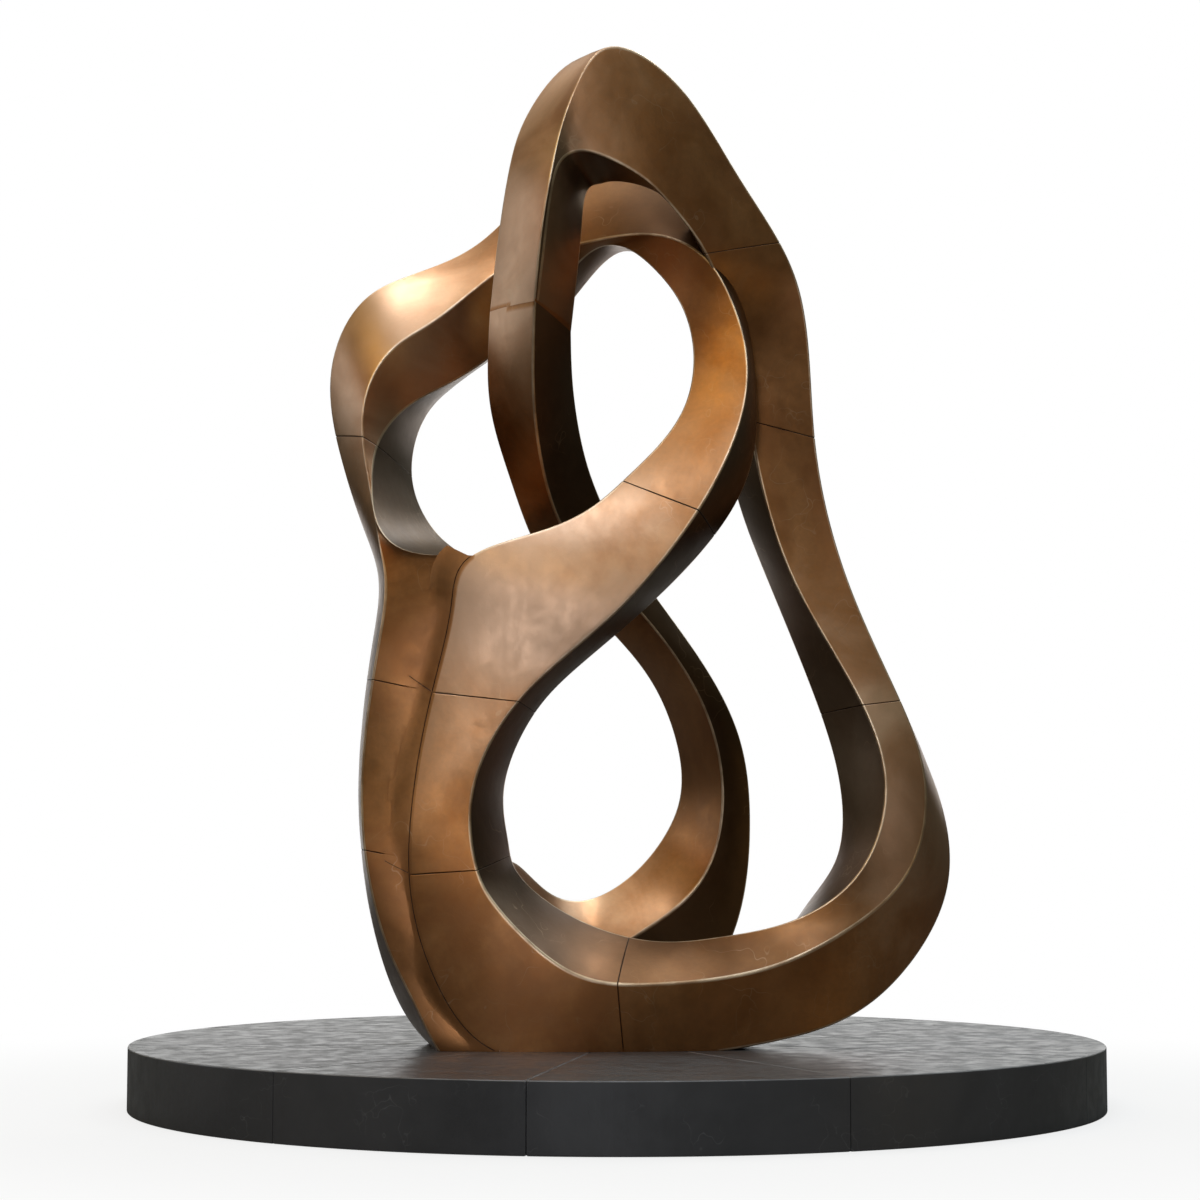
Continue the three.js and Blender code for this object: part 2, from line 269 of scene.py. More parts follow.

# %% [markdown]
# ## Darker and paler lengths
#
# The flanks carry painted shade: on each section the faces other than the front one are darkened
# by a given share. A second share paints light and shade along the ribbon: a painted highlight on
# the diagonal, the left limb and the low right turn, which come out palest, and painted shade at
# the feet, which come out darkest. Noise alone can't put these lengths where they belong, so a
# table gives both shares at named sections, and they fade from row to row.

# %% Tones along the ribbon
# Each row: a section, the painted flank shade of its first side, and its share of painted
# light, high for a painted highlight and low for painted shade.
tones = [
    ("front limb joint", 1.0, 0.75), ("arch start", 1.0, 0.7), ("crown", 0.1, 0.65),
    ("right limb 2", 0.1, 0.3), ("right limb 3", 0.1, 0.18), ("right limb 4", 0.1, 0.1),
    ("right limb 5", 0.1, 0.45), ("right limb 6", 0.12, 0.7), ("right bend 1", 0.3, 0.75),
    ("right bend 2", 0.45, 0.6), ("right bend 3", 0.45, 0.45), ("front base 1", 0.45, 0.15),
    ("front base 2", 0.45, 0.13), ("column foot", 1.0, 0.1), ("column 2", 1.0, 0.4),
    ("column 3", 1.0, 0.6), ("diagonal 1", 1.0, 0.95), ("diagonal 3", 1.0, 0.8),
    ("diagonal 4", 1.0, 0.55), ("ring 1", 1.0, 0.42), ("ring 4", 1.0, 0.35),
    ("ring top", 0.7, 0.3), ("ring 7", 0.2, 0.4), ("left limb 1", 0.1, 0.5),
    ("left limb 3", 0.1, 0.9), ("left limb 4", 0.1, 0.8), ("left waist", 0.1, 0.5),
    ("crotch 1", 0.3, 0.1), ("left panel 1", 0.8, 0.1), ("left panel 2", 0.8, 0.2),
    ("left foot 1", 0.8, 0.0), ("left foot 3", 0.8, 0.0), ("back base 1", 0.95, 0.45),
    ("back base 2", 1.0, 0.65), ("back base 3", 1.0, 0.65), ("inner limb 1", 1.0, 0.35),
    ("inner limb 2", 1.0, 0.15), ("inner limb 5", 1.0, 0.2), ("front limb 2", 1.0, 0.45),
    ("front limb end", 1.0, 0.75),
]
tone_places = np.array([place_of(name) for name, _, _ in tones])
painted_flank_shades, painted_light_shares = np.array([row[1:] for row in tones]).T
print("tones along the ribbon:", len(tones))

# %% [markdown]
# ## A ring with soft edges
#
# Every face is slightly crowned, because hand-finished bronze is never quite flat, and the four
# edges are rubbed to a small radius that shines. A bevel modifier could round them, but here the
# rounding is part of the ring: between two faces, a short curve leaves one face and lands on the
# next with the sharp corner as its control point. Each point also carries how much it belongs to
# an edge or a weld, and its shares of painted flank shade and of painted light along the ribbon,
# for the materials.

# %% Rings of the ribbon
face_crown = 0.02
edge_reach = 3.5 * MM
most_of_face = 0.3
# How much less painted flank shade the side and far faces take where the first face takes all of
# it.
flank_trade = 0.45
arc_shares = np.array([0.25, 0.5, 0.75])
face_shares = np.array([0.0, 0.03, 0.09, 0.18, 0.29, 0.395, 0.5,
                        0.605, 0.71, 0.82, 0.91, 0.97, 1.0])
wave_height = 0.2 * MM


def ripple(place, share, face):
    """A slow hand-made wave of a face: three sines of different lengths along and across it,
    held at nothing on both edges by the face's own crown curve."""
    turn = 1.7 * face
    wave = (np.sin(21 * place + 3 * share + turn)
            + 0.7 * np.sin(37 * place - 5 * share + 2.3 * turn)
            + 0.5 * np.sin(64 * place + 9 * share + 0.6 * turn))
    return wave_height * wave * 4 * share * (1 - share)


def rings_at(nominal):
    """Closed rings of points, and their edge, weld, painted flank shade and painted light shares.
    On a face, a point is the corner plus its share of the way across, raised outward by the ripple
    and by
    the crown: four times the share times what is left of it. On a corner, a point is a quadratic
    curve between the ends of the two faces. A weld sinks the whole ring in a short trough. The
    painted flank shade goes on the first face as the table gives it; the more it is there, the
    less goes on the side and far faces, and none goes on the front face."""
    leaning = lean(nominal)
    points = np.stack([edges_at(leaning[:, k])[:, k] for k in range(4)], axis=1)
    centre = points.mean(axis=1, keepdims=True)
    across = np.roll(points, -1, axis=1) - points
    width = np.linalg.norm(across, axis=2, keepdims=True)
    along = across / width
    outward = points + across / 2 - centre
    outward -= (outward * along).sum(axis=2, keepdims=True) * along
    outward = unit(outward)

    trim = np.minimum(edge_reach, most_of_face * width)
    share = ((trim + (width - 2 * trim) * face_shares) / width)[..., None]
    place = leaning[:, :, None, None]
    face = np.arange(4)[None, :, None, None]
    rise = 4 * share * (1 - share) * face_crown * width[..., None] + ripple(place, share, face)
    on_face = points[:, :, None] + share * across[:, :, None] + rise * outward[:, :, None]

    arrive = np.roll(on_face[:, :, -1:], 1, axis=1)
    leave = on_face[:, :, :1]
    a = arc_shares[None, None, :, None]
    on_arc = (1 - a) ** 2 * arrive + 2 * a * (1 - a) * points[:, :, None] + a ** 2 * leave

    rings = np.concatenate([on_arc, on_face], axis=2)
    edge = np.concatenate([np.ones(len(arc_shares)), (face_shares * (1 - face_shares) == 0)])
    edge = np.broadcast_to(edge, rings.shape[:3]).astype(float)

    # Painted shade on the flanks: the first face takes the table's share, the next two less, the
    # front face none.
    first = np.interp(nominal, tone_places, painted_flank_shades)
    others = 1 - flank_trade * first
    shade = np.stack([first, others, others, 0 * first], axis=1)[:, :, None]
    on_corner = (np.roll(shade, 1, axis=1) + shade) / 2
    flank = np.concatenate([np.repeat(on_corner, len(arc_shares), axis=2),
                            np.repeat(shade, len(face_shares), axis=2)], axis=2)

    away = np.abs(nominal[:, None] - weld_places).min(axis=1) / weld_half_width
    weld = np.clip(1 - away, 0, 1)
    inward = unit(centre[:, :, None] - rings)
    rings = rings + inward * (weld_depth * weld)[:, None, None, None]
    weld = np.broadcast_to(weld[:, None, None], rings.shape[:3])
    # Painted light along the ribbon: high for a painted highlight, low for painted shade.
    pale = np.interp(nominal, tone_places, painted_light_shares)
    pale = np.broadcast_to(pale[:, None, None], rings.shape[:3])
    marks = {"edge": edge, "weld": weld, "flank": flank, "pale": pale}
    return rings.reshape(len(nominal), -1, 3), marks


print("points round a ring:", 4 * (len(arc_shares) + len(face_shares)))

# %% [markdown]
# ## Skinning the rings
#
# A strand is a grid: one direction runs along the ribbon and the other closes on itself. The
# faces of such a grid follow a fixed pattern, so they are worked out as whole arrays. Both ends
# are closed with one many-sided face each.

# %% Strands
ring_step = 15 * MM


def body_of(name, points, faces_4, caps, marks):
    """An object from an array of points, an array of four-sided faces and a few larger caps,
    with one float value per point for each named mark."""
    mesh = bpy.data.meshes.new(name)
    mesh.from_pydata(points.tolist(), [], faces_4.tolist() + [list(cap) for cap in caps])
    for mark, values in marks.items():
        layer = mesh.attributes.new(mark, "FLOAT", "POINT")
        layer.data.foreach_set("value", np.asarray(values, np.float32).ravel())
    mesh.update()
    thing = bpy.data.objects.new(name, mesh)
    bpy.context.scene.collection.objects.link(thing)
    return thing


def grid_faces(rows, columns):
    """Faces of a grid that closes across its columns: each takes a point, the next along the
    row, and the same two of the next row."""
    here = np.arange(rows - 1)[:, None] * columns + np.arange(columns)
    beside = np.arange(rows - 1)[:, None] * columns + np.roll(np.arange(columns), -1)
    return np.stack([here, beside, beside + columns, here + columns], axis=2).reshape(-1, 4)


def body_of_rings(name, rings, marks):
    """A closed body: a grid joins each ring of points to the next, and a cap closes each end."""
    rows, columns = rings.shape[:2]
    caps = [range(columns)[::-1], range((rows - 1) * columns, rows * columns)]
    return body_of(name, rings.reshape(-1, 3), grid_faces(rows, columns), caps, marks)


def strand(name, start, end):
    """One closed length of the ribbon from a start place to an end place."""
    return body_of_rings(name, *rings_at(ring_places(start, end, ring_step)))


ring_top = place_of("ring top")
outer_strand = strand("outer_strand", 0.0, ring_top)
inner_strand = strand("inner_strand", ring_top, places[-1])
print("faces:", len(outer_strand.data.polygons), len(inner_strand.data.polygons))

# %% [markdown]
# ## Bodies that cut
#
# A weld is a rounded groove, and the ribbon's underside is ground flat where it meets the
# plinth. Both come from bodies that are taken away: a thin tube that follows the weld, and a wide
# block. A Blender curve could give the tube, but here it is one more stack of rings.

# %% Tube and block
def tube(name, path, radius, sides=8):
    """A closed tube: round each path point, a circle in the plane across the path. The circle's
    two directions come from the path's own direction and the line of sight."""
    ahead = unit(np.gradient(path, axis=0))
    first = unit(np.cross(ahead, (0.0, 1.0, 0.0)))
    second = np.cross(ahead, first)
    angle = 2 * np.pi * np.arange(sides) / sides
    rings = (path[:, None] + radius * np.cos(angle)[None, :, None] * first[:, None]
             + radius * np.sin(angle)[None, :, None] * second[:, None])
    count = len(path) * sides
    return body_of_rings(name, rings, {"edge": np.zeros(count), "weld": np.ones(count)})


def block_below(name, half_width, top, depth):
    """A box with its upper face at the given height."""
    corner = np.array([(x, y, z) for z in (top - depth, top)
                       for x, y in ((-1, -1), (1, -1), (1, 1), (-1, 1))], float)
    corner[:, :2] *= half_width
    return body_of(name, corner, grid_faces(2, 4), [(3, 2, 1, 0), (4, 5, 6, 7)],
                   {"edge": np.zeros(8), "weld": np.zeros(8)})


print("cutting bodies ready")

# %% [markdown]
# ## The filled step down the column
#
# Down the column two lengths of ribbon run side by side, with a step of a few millimetres between
# them. The maker filled and filed that step until the front ran smooth. A sculpted patch would
# do, but a long sliver with a formula stays smooth from end to end: its front passes from one
# length's depth to the other's, and its back is the same grid moved inward.

# %% Fill beside the seam
seam_from = 3.97
seam_to = 5.03
seam_rows = 90
fill_width = 70 * MM
fill_depth = 30 * MM
fill_drop = 4 * MM
fill_steps = 9
fill_beside = (place_of("left foot 3"), place_of("crotch 1"))
past_seam = 5 * MM
slope_reach = 30 * MM
slope_run = 25 * MM
inner_lift = 0.3 * MM
outer_lift = 0.1 * MM
view_start = np.array((0.0, 2.0, 0.0))


def front_of(thing, spots):
    """The depth of a strand's front at each spot: where a line along +Y first meets it."""
    hits = [thing.ray_cast(spot - view_start, (0.0, 1.0, 0.0)) for spot in spots.reshape(-1, 3)]
    depth = np.array([at.y if found else np.nan for found, at, _, _ in hits])
    return depth.reshape(spots.shape[:-1])


def fill_front(path, across):
    """The fill's front, from its left rim to just past the seam. The depth goes from the inner
    strand's, by a smooth step 3t^2 - 2t^3, to the outer strand's front carried on in a straight
    line. Where the inner strand lies far behind or is missing, that line less a small drop is
    used in its place."""
    share = np.linspace(0.0, 1.0, fill_steps)
    front = path[:, None] + across[:, None] * (past_seam - (1 - share) * fill_width)[None, :, None]
    near, far = (front_of(outer_strand, path + across * reach)
                 for reach in (past_seam, slope_reach))
    outer = near[:, None] + (near - far)[:, None] / slope_run * (1 - share) * fill_width
    inner = np.fmin(front_of(inner_strand, front), outer + fill_drop)
    blend = share ** 2 * (3 - 2 * share)
    front[..., 1] = (inner + inner_lift) * (1 - blend) + (outer - outer_lift) * blend
    return front


def fill_body(name, front):
    """A closed body whose front is the given grid, and whose back is the same grid moved back."""
    back = front[:, ::-1] + np.array((0.0, fill_depth, 0.0))
    rings = np.concatenate([front, back], axis=1)
    beside = np.linspace(*fill_beside, len(rings))
    # The fill takes the painted light of the ribbon beside it, and no painted flank shade.
    pale = np.repeat(np.interp(beside, tone_places, painted_light_shares), rings.shape[1])
    marks = {"edge": 0 * pale, "weld": 0 * pale, "flank": 0 * pale, "pale": pale}
    return body_of_rings(name, rings, marks)


def mark_path(front, place, rise):
    """Where a cross weld runs over the fill: it meets the seam at the given place, and its left
    end lies the given number of rows higher. Each point is mixed from the two nearest rows."""
    share = np.linspace(0.0, 1.0, fill_steps)
    row = (place - seam_from) / (seam_to - seam_from) * (seam_rows - 1) + rise * (1 - share)
    low = np.floor(row).astype(int)
    part = (row - low)[:, None]
    column = np.arange(fill_steps)
    return front[low, column] * (1 - part) + front[low + 1, column] * part


seam_edges = edges_at(np.linspace(seam_from, seam_to, seam_rows))
seam_path = seam_edges[:, FRONT]
seam_across = unit(seam_edges[:, LEADING] - seam_path)
front_grid = fill_front(seam_path, seam_across)
print("seam length: %.2f m" % np.linalg.norm(np.diff(seam_path, axis=0), axis=1).sum())

# %% [markdown]
# ## One clean skin
#
# Where faces nearly coincide, booleans leave loose slivers and very short edges. Merging all near
# points would close up the fine grooves too, so the largest connected part is kept instead, and
# only edges too short to matter are dissolved.

# %% Cleaning helpers
shortest_edge = 0.01 * MM


def parts_of(count, ends):
    """For each point, the lowest number in its connected part. Each round gives both ends of
    every edge the lower of their two numbers, then follows numbers to their own numbers until
    nothing changes."""
    part = np.arange(count)
    while True:
        low, high = np.sort(part[ends], axis=1).T
        if (low == high).all():
            return part
        np.minimum.at(part, high, low)
        while (part[part] != part).any():
            part = part[part]


def keep_main_part(mesh):
    """The mesh with only its largest connected part, and without edges too short to matter."""
    ends = np.empty(len(mesh.edges) * 2, np.int32)
    mesh.edges.foreach_get("vertices", ends)
    part = parts_of(len(mesh.vertices), ends.reshape(-1, 2))
    loose = np.flatnonzero(part != np.bincount(part).argmax())
    work = bmesh.new()
    work.from_mesh(mesh)
    work.verts.ensure_lookup_table()
    bmesh.ops.delete(work, geom=[work.verts[index] for index in loose.tolist()], context="VERTS")
    bmesh.ops.dissolve_degenerate(work, edges=work.edges, dist=shortest_edge)
    open_edges = sum(not edge.is_manifold for edge in work.edges)
    work.to_mesh(mesh)
    work.free()
    print("loose points removed:", len(loose), "open edges left:", open_edges)


print("cleaning helpers ready")

# %% [markdown]
# ## One solid ribbon
#
# The two strands overlap where the ribbon meets itself on the front limb and runs side by side
# down the column. On the real one these lengths are welded into a single skin. A boolean union
# gives the same result, and leaves no hidden walls inside. The fill joins them, then the block
# takes off all that would reach below the plinth's top, and thin tubes cut the long weld between
# the two lengths and the two short ones over the fill.

# %% Joining and cutting
plinth_radius = 1.225
plinth_height = 0.158
rest_gap = 0.3 * MM
block_half_width = 1.5
block_depth = 0.8
seam_radius = 1.2 * MM
mark_radius = 0.9 * MM
crease_angle = math.radians(32)
cross_marks = {"upper_mark": (weld_end("column 3", FRONT), 2.0),
               "lower_mark": (weld_end("column 1", FRONT), 4.0)}


def combine(target, others):
    """Gives the target its mesh after each boolean in turn. The helpers are then removed."""
    for operation, other in others:
        step = target.modifiers.new(operation.lower(), "BOOLEAN")
        step.operation = operation
        step.solver = "MANIFOLD"
        step.object = other
    ready = target.evaluated_get(bpy.context.evaluated_depsgraph_get())
    mesh = bpy.data.meshes.new_from_object(ready)
    target.modifiers.clear()
    target.data = mesh
    for _, other in others:
        bpy.data.objects.remove(other)
    return target


marks = [tube(name, mark_path(front_grid, place, rise), mark_radius)
         for name, (place, rise) in cross_marks.items()]
ribbon = combine(outer_strand, [
    ("UNION", inner_strand),
    ("UNION", fill_body("seam_fill", front_grid)),
    ("DIFFERENCE", block_below("below", block_half_width, plinth_height + rest_gap, block_depth)),
    ("DIFFERENCE", tube("column_seam", seam_path, seam_radius)),
    *[("DIFFERENCE", mark) for mark in marks],
])
keep_main_part(ribbon.data)
ribbon.name = ribbon.data.name = "bronze_ribbon"
ribbon.data.polygons.foreach_set("use_smooth", np.ones(len(ribbon.data.polygons), bool))
ribbon.data.set_sharp_from_angle(angle=crease_angle)
print("ribbon faces:", len(ribbon.data.polygons))

# %% [markdown]
# ## Plinth slabs
#
# The plinth is a ring of ten wedge-shaped slabs of dark stone, honed to a satin face, with a
# small arris ground along every rim so that it doesn't chip. A bevel modifier on an extruded
# wedge would do, but a wedge drawn in by a distance is again a wedge, so the arris is simply a
# stack of the same outline at a few insets and heights.

# %% Slabs
joint_width = 2 * MM
# Directions of the joints in degrees, from the viewer's side towards the right.
joint_directions = np.array([-38, -9, 24, 64, 100, 136, 172, 208, 245, 284])
arris = 3.5 * MM
arc_step = math.radians(1.2)


def wedge_outline(start, end, inset, count):
    """A wedge drawn in by an inset: its tip slides out along the middle by the half joint over
    the sine of half the wedge's angle, and its arc keeps the plinth's centre with a smaller
    radius, trimmed where it meets the sides."""
    half_joint = joint_width / 2 + inset
    radius = plinth_radius - inset
    trim = math.asin(half_joint / radius)
    middle = (start + end) / 2
    tip = half_joint / math.sin((end - start) / 2)
    angle = np.linspace(start + trim, end - trim, count)
    arc = radius * np.stack([np.cos(angle), np.sin(angle)], axis=1)
    return np.vstack([[tip * math.cos(middle), tip * math.sin(middle)], arc])


def slab(index):
    """One slab between two joints, from stacked outlines: straight sides, and at both rims an
    inset that follows a quarter of a circle in three steps."""
    start = math.radians(joint_directions[index] - 90)
    following = joint_directions[(index + 1) % len(joint_directions)]
    end = math.radians(following - 90 + (360 if index == len(joint_directions) - 1 else 0))
    count = math.ceil((end - start) / arc_step)
    turn = np.radians([0, 30, 60, 90])
    inset = arris * (1 - np.sin(turn))
    height = arris * (1 - np.cos(turn))
    insets = np.concatenate([inset, inset[::-1]])
    heights = np.concatenate([height, plinth_height - height[::-1]])
    outlines = np.stack([wedge_outline(start, end, i, count) for i in insets])
    rows, columns = outlines.shape[:2]
    level = np.broadcast_to(heights[:, None, None], (rows, columns, 1))
    points = np.concatenate([outlines, level], axis=2)
    rim = (insets > 0.05 * arris) * (insets < 0.95 * arris)
    edge = np.broadcast_to(rim[:, None], (rows, columns)).astype(float)
    return body_of_rings("stone_slab_%d" % (index + 1), points, {"edge": edge})


slabs = [slab(index) for index in range(len(joint_directions))]
print("slabs:", len(slabs), "faces each about", len(slabs[0].data.polygons))

# %% [markdown]
# ## Helpers for materials
#
# A finish is a small graph of nodes. Clicking them together works too, but in code a few helpers
# keep it short. One adds a node and sets or links its inputs by name, and the others add up
# weighted masks and lay colours over each other.

# %% Node helpers
def put(tree, kind, inputs=None, **settings):
    """Adds a shader node, applies its settings, and fills its inputs with values or linked
    sockets."""
    node = tree.nodes.new("ShaderNode" + kind)
    for key, value in settings.items():
        setattr(node, key, value)
    for key, value in (inputs or {}).items():
        if isinstance(value, bpy.types.NodeSocket):
            tree.links.new(value, node.inputs[key])
        else:
            node.inputs[key].default_value = value
    return node


def remap(tree, value, low, high, to_low=0.0, to_high=1.0):
    """A smooth step of a value from one range to another."""
    node = put(tree, "MapRange", {"Value": value, "From Min": low, "From Max": high,
               "To Min": to_low, "To Max": to_high}, interpolation_type="SMOOTHSTEP")
    return node.outputs["Result"]


def sums(tree, operation, a, b):
    """One step of arithmetic on two values or sockets."""
    return put(tree, "Math", {0: a, 1: b}, operation=operation).outputs[0]


def weighted(tree, *parts):
    """The sum of each part's value times its weight. A constant is the value 1 with a weight."""
    terms = [sums(tree, "MULTIPLY", value, weight) for value, weight in parts]
    total = terms[0]
    for term in terms[1:]:
        total = sums(tree, "ADD", total, term)
    return total


def blend_colours(tree, share, a, b):
    """The mix of two colours: the first at share 0, the second at share 1."""
    node = put(tree, "Mix", {0: share, 6: a, 7: b}, data_type="RGBA")
    return node.outputs[2]


def layered(tree, colour, layers):
    """A colour with each layer's colour laid over it in turn, by that layer's mask."""
    for mask, tint in layers.values():
        colour = blend_colours(tree, mask, colour, tint)
    return colour


print("node helpers ready")

# %% [markdown]
# ## Groups and finishes
#
# An effect that both finishes share is a group with named sockets, built once and placed in each
# material with its own values. A finish reads where a point is, and the shares that it carries.

# %% Group and material helpers
relief_depth = 0.6 * MM


def start_group(name, inputs, outputs):
    """A new shader group with named float or vector sockets."""
    kinds = {"f": "NodeSocketFloat", "v": "NodeSocketVector"}
    tree = bpy.data.node_groups.new(name, "ShaderNodeTree")
    for label, kind in inputs.items():
        tree.interface.new_socket(label, in_out="INPUT", socket_type=kinds[kind])
    for label, kind in outputs.items():
        tree.interface.new_socket(label, in_out="OUTPUT", socket_type=kinds[kind])
    return tree, tree.nodes.new("NodeGroupInput"), tree.nodes.new("NodeGroupOutput")


def use_group(tree, group, inputs):
    """A shared group placed in a tree, with its own inputs."""
    return put(tree, "Group", inputs, node_tree=group)


def attributes_of(tree, *marks):
    """Sockets that read the named shares that each point of a mesh carries."""
    return [put(tree, "Attribute", attribute_name=mark).outputs["Fac"] for mark in marks]


def new_material(name):
    """A material with its tree, its Principled shader and its Object coordinates."""
    material = bpy.data.materials.new(name)
    material.use_nodes = True
    tree = material.node_tree
    shader = tree.nodes["Principled BSDF"]
    coords = put(tree, "TexCoord").outputs["Object"]
    return material, tree, shader, coords


def relief_normal(tree, height, strength):
    """A normal bent by a height, which counts in units of the relief's depth."""
    bump = put(tree, "Bump", {"Height": height, "Distance": relief_depth, "Strength": strength})
    return bump.outputs["Normal"]


def feed(tree, shader, sockets):
    """Links a value to each named socket of a shader."""
    for socket, value in sockets.items():
        tree.links.new(value, shader.inputs[socket])


print("material helpers ready")

# %% [markdown]
# ## Clouds
#
# Three effects appear on both the bronze and the stone, at different sizes, so each is a group
# that puts out masks, and a material decides what they change. The first is clouds, the slow
# change of colour and gloss that a brushed-on patina or a honed slab shows.

# %% Clouds
clouds, into, out = start_group("clouds", {"Vector": "v", "Size": "f"},
                                {"Broad": "f", "Fine": "f"})
per_metre = sums(clouds, "DIVIDE", 1.0, into.outputs["Size"])
broad = put(clouds, "TexNoise", {"Vector": into.outputs["Vector"],
            "Scale": per_metre, "Detail": 5.0, "Roughness": 0.55, "Distortion": 0.8})
fine = put(clouds, "TexNoise", {"Vector": into.outputs["Vector"],
           "Scale": sums(clouds, "MULTIPLY", per_metre, 9.0), "Detail": 6.0,
           "Roughness": 0.6, "Distortion": 0.3})
clouds.links.new(remap(clouds, broad.outputs["Fac"], 0.32, 0.68), out.inputs["Broad"])
clouds.links.new(remap(clouds, fine.outputs["Fac"], 0.3, 0.7), out.inputs["Fine"])
print("cloud nodes:", len(clouds.nodes))

# %% [markdown]
# ## Curly scratches
#
# Cloths and grit leave short curly hairs. The borders between Voronoi cells are thin lines, and
# bending the coordinates with noise curls them. A second noise keeps them in patches, because
# lines all over would read as a net.

# %% Scratches
scratches, into, out = start_group(
    "curly_scratches", {"Vector": "v", "Size": "f", "Width": "f", "Amount": "f"}, {"Mask": "f"})
per_metre = sums(scratches, "DIVIDE", 1.0, into.outputs["Size"])
bender = put(scratches, "TexNoise", {"Vector": into.outputs["Vector"],
             "Scale": sums(scratches, "MULTIPLY", per_metre, 1.6), "Detail": 2.0})
offset = put(scratches, "VectorMath", {0: bender.outputs["Color"], 1: (0.5, 0.5, 0.5)},
             operation="SUBTRACT")
sway = put(scratches, "VectorMath", {0: offset.outputs[0],
           "Scale": sums(scratches, "MULTIPLY", into.outputs["Size"], 1.6)}, operation="SCALE")
bent = put(scratches, "VectorMath", {0: into.outputs["Vector"], 1: sway.outputs[0]},
           operation="ADD")
cells = put(scratches, "TexVoronoi", {"Vector": bent.outputs[0], "Scale": per_metre},
            feature="DISTANCE_TO_EDGE")
near = put(scratches, "MapRange", {"Value": cells.outputs["Distance"],
           "From Min": 0.0, "From Max": into.outputs["Width"], "To Min": 1.0, "To Max": 0.0})
patchy = put(scratches, "TexNoise", {"Vector": into.outputs["Vector"],
             "Scale": sums(scratches, "MULTIPLY", per_metre, 0.9), "Detail": 3.0})
gate = put(scratches, "MapRange", {"Value": patchy.outputs["Fac"], "From Min": 0.5,
           "From Max": 0.62, "To Min": 0.0, "To Max": into.outputs["Amount"]})
scratches.links.new(sums(scratches, "MULTIPLY", near.outputs["Result"], gate.outputs["Result"]),
                    out.inputs["Mask"])
print("scratch nodes:", len(scratches.nodes))

# %% [markdown]
# ## Rubbed edges
#
# A rubbed edge is brighter than the face beside it, but not evenly so, and on the bronze part of
# that brightness is a painted highlight. The mesh says where its edges are, which is sharper than
# guessing them from the shape, and noise breaks the line up.

# %% Rubbed edge
rubbed, into, out = start_group("rubbed_edge", {"Vector": "v", "Edge": "f", "Strength": "f"},
                                {"Mask": "f"})
uneven = put(rubbed, "TexNoise", {"Vector": into.outputs["Vector"], "Scale": 14.0,
             "Detail": 4.0})
breaks = remap(rubbed, uneven.outputs["Fac"], 0.3, 0.65, 0.35, 1.0)
ridge = remap(rubbed, into.outputs["Edge"], 0.35, 1.0)
shine = sums(rubbed, "MULTIPLY", sums(rubbed, "MULTIPLY", ridge, breaks),
             into.outputs["Strength"])
rubbed.links.new(shine, out.inputs["Mask"])
print("groups:", [group.name for group in bpy.data.node_groups])

# %% [markdown]
# ## Patinated bronze
#
# The bronze is bare metal under a thin brown patina, waxed and buffed to a satin. So it is fully
# metallic, and its colour is the colour of its reflections: warm rose-brown where the patina is
# thin and deep brown where it is thick. The flanks carry painted shade and less wax. Edges are
# rubbed back to bright metal, partly painted as a highlight, and the welds hold dark patina.
# Painted highlight and painted shade also run along the ribbon. The layers lie over each other in
# the order in which the maker's hand would leave them.

# %% Bronze colour
bronze, tree, shader, coords = new_material("patinated_bronze")
cloud = use_group(tree, clouds, {"Vector": coords, "Size": 0.34})
smudge = use_group(tree, clouds, {"Vector": coords, "Size": 0.11})
hairs = use_group(tree, scratches, {"Vector": coords, "Size": 0.16, "Width": 0.012,
                                    "Amount": 0.55})
edge, pale, weld, flank = attributes_of(tree, "edge", "pale", "weld", "flank")
shine = use_group(tree, rubbed, {"Vector": coords, "Edge": edge, "Strength": 0.85})
# Painted light along the ribbon, loosened by a little broad cloud.
uneven = weighted(tree, (pale, 1.0), (cloud.outputs["Broad"], 0.25))
weld_mask = remap(tree, weld, 0.15, 0.8)

deep_brown = (0.40, 0.150, 0.036, 1)
warm_brown = (0.52, 0.225, 0.070, 1)
# Each layer: how much of it shows, and its colour.
bronze_layers = {
    "thin smudges": (weighted(tree, (smudge.outputs["Broad"], 0.12)), (0.58, 0.35, 0.18, 1)),
    "thick smudges": (weighted(tree, (smudge.outputs["Fine"], 0.24)), (0.26, 0.135, 0.055, 1)),
    # Painted shade where the painted light share is low, darkest at the feet.
    "painted shade lengths": (weighted(tree, (remap(tree, uneven, 0.6, 0.1), 0.6)),
                     (0.215, 0.076, 0.018, 1)),
    # Painted highlight where it is high, palest on the diagonal, the left limb and the low right
    # turn.
    "painted highlight lengths": (weighted(tree, (remap(tree, uneven, 0.5, 1.15), 0.75)),
                     (0.78, 0.52, 0.34, 1)),
    # Painted shade on the flanks.
    "painted flank shade": (weighted(tree, (flank, 0.8)), (0.060, 0.047, 0.030, 1)),
    "curly hairs": (weighted(tree, (hairs.outputs["Mask"], 0.6)), (0.62, 0.42, 0.25, 1)),
    # Edges rubbed back to bright metal, partly a painted highlight.
    "worn edges and painted highlight": (shine.outputs["Mask"], (0.92, 0.70, 0.47, 1)),
    "welds": (weld_mask, (0.045, 0.026, 0.015, 1)),
}
patina = blend_colours(tree, cloud.outputs["Broad"], deep_brown, warm_brown)
patina = layered(tree, patina, bronze_layers)
print("layers of the patina:", list(bronze_layers))

# %% [markdown]
# ## Gloss of the bronze
#
# Buffing never leaves one even gloss. Clouds and smudges change it a little, and long faint
# streaks run up and down where the metal was brushed. The wax is a clear coat, thinner on the
# flanks, where it follows the painted flank shade. The relief is far too small for the mesh, so
# it is a bump.

